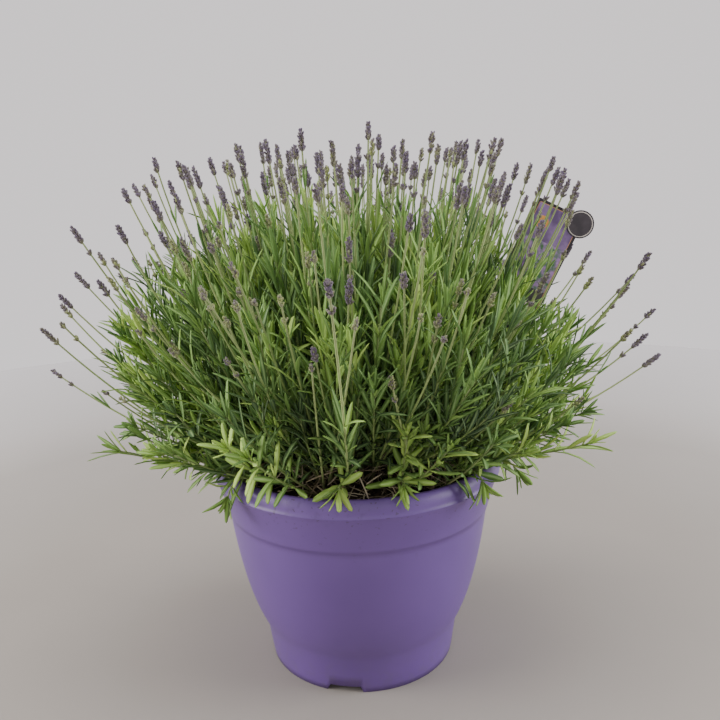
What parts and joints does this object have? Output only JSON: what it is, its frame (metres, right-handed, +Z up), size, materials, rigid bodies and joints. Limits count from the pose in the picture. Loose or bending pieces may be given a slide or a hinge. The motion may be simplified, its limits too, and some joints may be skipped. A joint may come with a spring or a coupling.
{
  "type": "potted lavender",
  "caption": "Bushy lavender in full bud growing in a round flared plastic pot of soil, with a plant label stuck among the stems.",
  "frame": {"origin": "centre of the pot's foot, on the surface the pot stands on", "axes": "+Z up, along the pot's axis; -Y is the front that the plant label faces; +X to the right seen from the front"},
  "size_m": [0.647, 0.6453, 0.5424],
  "materials": {
    "pot_plastic": "matte",
    "soil": "matte",
    "foliage": "matte",
    "flowers": "matte",
    "stems": "matte",
    "straw": "matte",
    "label_plastic": "satin"
  },
  "bodies": {
    "root": {"pot": "pot_plastic", "potting_soil": "soil", "lavender_centre": "foliage", "lavender_clump_1": "foliage", "lavender_clump_2": "foliage", "lavender_clump_3": "foliage", "lavender_clump_4": "foliage", "lavender_clump_5": "foliage", "lavender_clump_6": "foliage", "lavender_clump_7": "foliage", "lavender_clump_8": "foliage", "plant_label": "label_plastic"}
  },
  "joints": []
}
